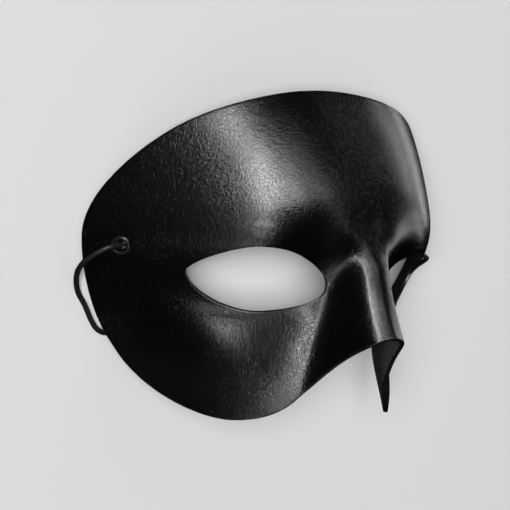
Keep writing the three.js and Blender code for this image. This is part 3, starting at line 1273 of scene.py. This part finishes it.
    @cached_property
    def _braid(self) -> Pattern:
        """The geometry tree of the braid: a tube whose surface rises over each strand."""
        tree = Pattern(
            "braid_along_line",
            Geometry="Geometry",
            Diameter="Float",
            Relief="Float",
            Strands="Int",
            Lay="Float",
            Elastic="Material",
        )
        relief = tree.number("Relief")
        place = tree.node("GeometryNodeSplineParameter").outputs
        line = tree.node("GeometryNodeMeshToCurve", Mesh=tree.given["Geometry"]).outputs[0]
        line = tree.stored(line, "along", place["Length"])
        section = tree.node(
            "GeometryNodeCurvePrimitiveCircle",
            Resolution=self.around,
            Radius=tree.number("Diameter") * 0.5 - relief * 0.5,
        ).outputs[0]
        section = tree.stored(section, "around", place["Factor"])
        tube = tree.node(
            "GeometryNodeCurveToMesh", Curve=line, Profile_Curve=section, Fill_Caps=True
        ).outputs[0]
        run = tree.named("along") / tree.number("Lay")
        spun = tree.named("around") * tree.number("Strands")
        left, right = ((spun + run) * math.pi).cosine(), ((spun - run) * math.pi).cosine()
        roundness, mean, swing = 0.6, 0.62, 0.38
        over = left * right * swing
        height = (abs(left) ** roundness * (mean + over)).larger(
            abs(right) ** roundness * (mean - over)
        )
        # The height, kept as braid, also drives the painted shade in the grooves of the cord's
        # colour
        tube = tree.stored(tube, "braid", height)
        normal = tree.node("GeometryNodeInputNormal").outputs[0]
        rise = tree.vector("SCALE", normal, Scale=height * relief)
        tube = tree.node("GeometryNodeSetPosition", Geometry=tube, Offset=rise).outputs[0]
        tree.end(tube, "Elastic")
        return tree


# Camera, light and table


@dataclass(frozen=True)
class PictureCamera:
    """The camera: high on the mask's left, looking down on it as it lies."""

    place: Point = (-502.3, 128.7, 539.6)
    right: Point = (0.7431, 0.1899, 0.6416)
    up: Point = (-0.0180, 0.9643, -0.2646)
    back: Point = (-0.6689, 0.1851, 0.7199)
    focal: float = 133.41
    sensor: float = 36.0

    def build(self) -> None:
        """Makes the scene's camera."""
        data = bpy.data.cameras.new("picture_camera")
        data.sensor_width = self.sensor
        data.lens = self.focal
        data.clip_start, data.clip_end = 0.02, 50.0
        camera = add_object("picture_camera", data)
        axes = Matrix([self.right, self.up, self.back]).transposed()
        camera.rotation_mode = "QUATERNION"
        camera.rotation_quaternion = axes.to_quaternion()
        camera.location = Vector(self.place) * MM
        bpy.context.scene.camera = camera


def hang_light(data: bpy.types.Light, place: Vector, aim: Vector, roll: float = 0.0) -> Object:
    """Hangs a light that the camera does not see.

    Args:
        data: The light.
        place: Where it hangs.
        aim: The direction in which it shines.
        roll: Its turn about that direction, in degrees.

    Returns:
        The light's object.
    """
    light = add_object(data.name, data)
    light.location = place
    light.rotation_mode = "QUATERNION"
    spin = Matrix.Rotation(math.radians(roll), 3, "Z").to_quaternion()
    light.rotation_quaternion = aim.to_track_quat("-Z", "Y") @ spin
    light.visible_camera = False
    return light


class Lights(Enum):
    """What a studio light is for: the highlights on the mask, or the pale table."""

    GLOSS = "gloss"
    TABLE = "table"


@dataclass(frozen=True)
class SoftBox:
    """A soft studio light, by the direction it comes from, in degrees and metres."""

    name: str
    azimuth: float
    elevation: float
    width: float
    height: float
    radiance: float
    roll: float = 0.0
    use: Lights = Lights.GLOSS
    distance: float = 6.0

    def build(self, target: Vector) -> None:
        """Makes the light and aims it at a target."""
        data = bpy.data.lights.new(self.name, "AREA")
        data.shape = "RECTANGLE" if self.use is Lights.GLOSS else "ELLIPSE"
        data.size, data.size_y = self.width, self.height
        data.energy = self.radiance * 4 * self.width * self.height
        a, e = math.radians(self.azimuth), math.radians(self.elevation)
        away = Vector((math.cos(a) * math.cos(e), math.sin(a) * math.cos(e), math.sin(e)))
        light = hang_light(data, target + away * self.distance, -away, self.roll)
        light.visible_diffuse = self.use is Lights.TABLE
        light.visible_glossy = self.use is Lights.GLOSS


@dataclass(frozen=True)
class EyeLight:
    """A narrow soft light that brightens the table seen through the near eye hole."""

    place: Point = (-0.5023, 0.1487, 0.5466)
    target: Point = (-0.0372, 0.0, 0.0502)
    spread: float = 7.4
    size: float = 0.05
    power: float = 9.0

    def build(self) -> None:
        """Makes the light."""
        data = bpy.data.lights.new("eye_light", "SPOT")
        data.spot_size = math.radians(self.spread)
        data.spot_blend = 1.0
        data.shadow_soft_size = self.size
        data.energy = self.power
        place = Vector(self.place)
        hang_light(data, place, Vector(self.target) - place).visible_glossy = False


@dataclass
class Studio:
    """The pale table, the even light all round and the soft boxes that draw the highlights."""

    table_size: float = 6.0
    dome: float = 0.22
    target: Point = (-0.02, 0.0, 0.045)
    boxes: tuple[SoftBox, ...] = (
        SoftBox("key_box", 115, 41, 1.9, 1, 18.6),
        SoftBox("key_end_box", 130, 50, 1.3, 0.9, 12.8, 15),
        SoftBox("low_key_box", 116, 25, 1.5, 1.1, 14, -5),
        SoftBox("side_box", 91, 46, 2.3, 1, 8.9),
        SoftBox("top_box", 157, 59, 0.6, 0.8, 30),
        SoftBox("high_box", 187, 59, 1.1, 0.7, 7.3),
        SoftBox("cheek_box", -139, 50, 1.2, 0.7, 5.7, -10),
        SoftBox("fore_box", 60, 40, 1.9, 1, 2.6, 5),
        SoftBox("rim_box", 4, 10, 2, 2, 1.6, -10),
        SoftBox("low_box", 27, 2, 2.3, 1, 2.1),
        SoftBox("floor_box", 11, -14, 2.5, 1.1, 1.7),
    )
    table_light: SoftBox = SoftBox("table_light", 165, 44.7, 2.4, 2.4, 17.6, use=Lights.TABLE)

    def build(self) -> None:
        """Makes the table, the world and the lights."""
        half = self.table_size / 2
        corners = np.array([(-half, -half, 0), (half, -half, 0), (half, half, 0), (-half, half, 0)])
        table = make_object("table", corners, [[0, 1, 2, 3]], smooth=False)
        table.data.materials.append(PaleTable().material())
        table.visible_glossy = False
        table.visible_shadow = False
        world = bpy.data.worlds.new("even_light")
        world.use_nodes = True
        graph = Graph(world.node_tree)
        shade = graph.node("ShaderNodeBackground", Color=(1, 1, 1, 1), Strength=self.dome)
        graph.node("ShaderNodeOutputWorld", Surface=shade.outputs[0])
        bpy.context.scene.world = world
        world.cycles_visibility.glossy = False
        bpy.context.scene.view_settings.view_transform = "Standard"
        target = Vector(self.target)
        for box in self.boxes:
            box.build(target)
        self.table_light.build(target)
        EyeLight().build()


def report(pieces: Sequence[Object]) -> None:
    """Logs the size of each piece."""
    for piece in pieces:
        triangles = sum(len(face.vertices) - 2 for face in piece.data.polygons)
        size = [round(side / MM, 1) for side in piece.dimensions]
        log.info("%s: %d triangles, %s mm", piece.name, triangles, size)


def main() -> None:
    """Builds the camera, the mask and the studio."""
    logging.basicConfig(level=logging.INFO, format="%(message)s")
    PictureCamera().build()
    shell = MaskShell()
    report(ElasticCord().build(shell))
    report([shell.build()])
    for side in Side:
        report(Eyelet().build(side, shell))
    Studio().build()


if __name__ == "__main__":
    main()
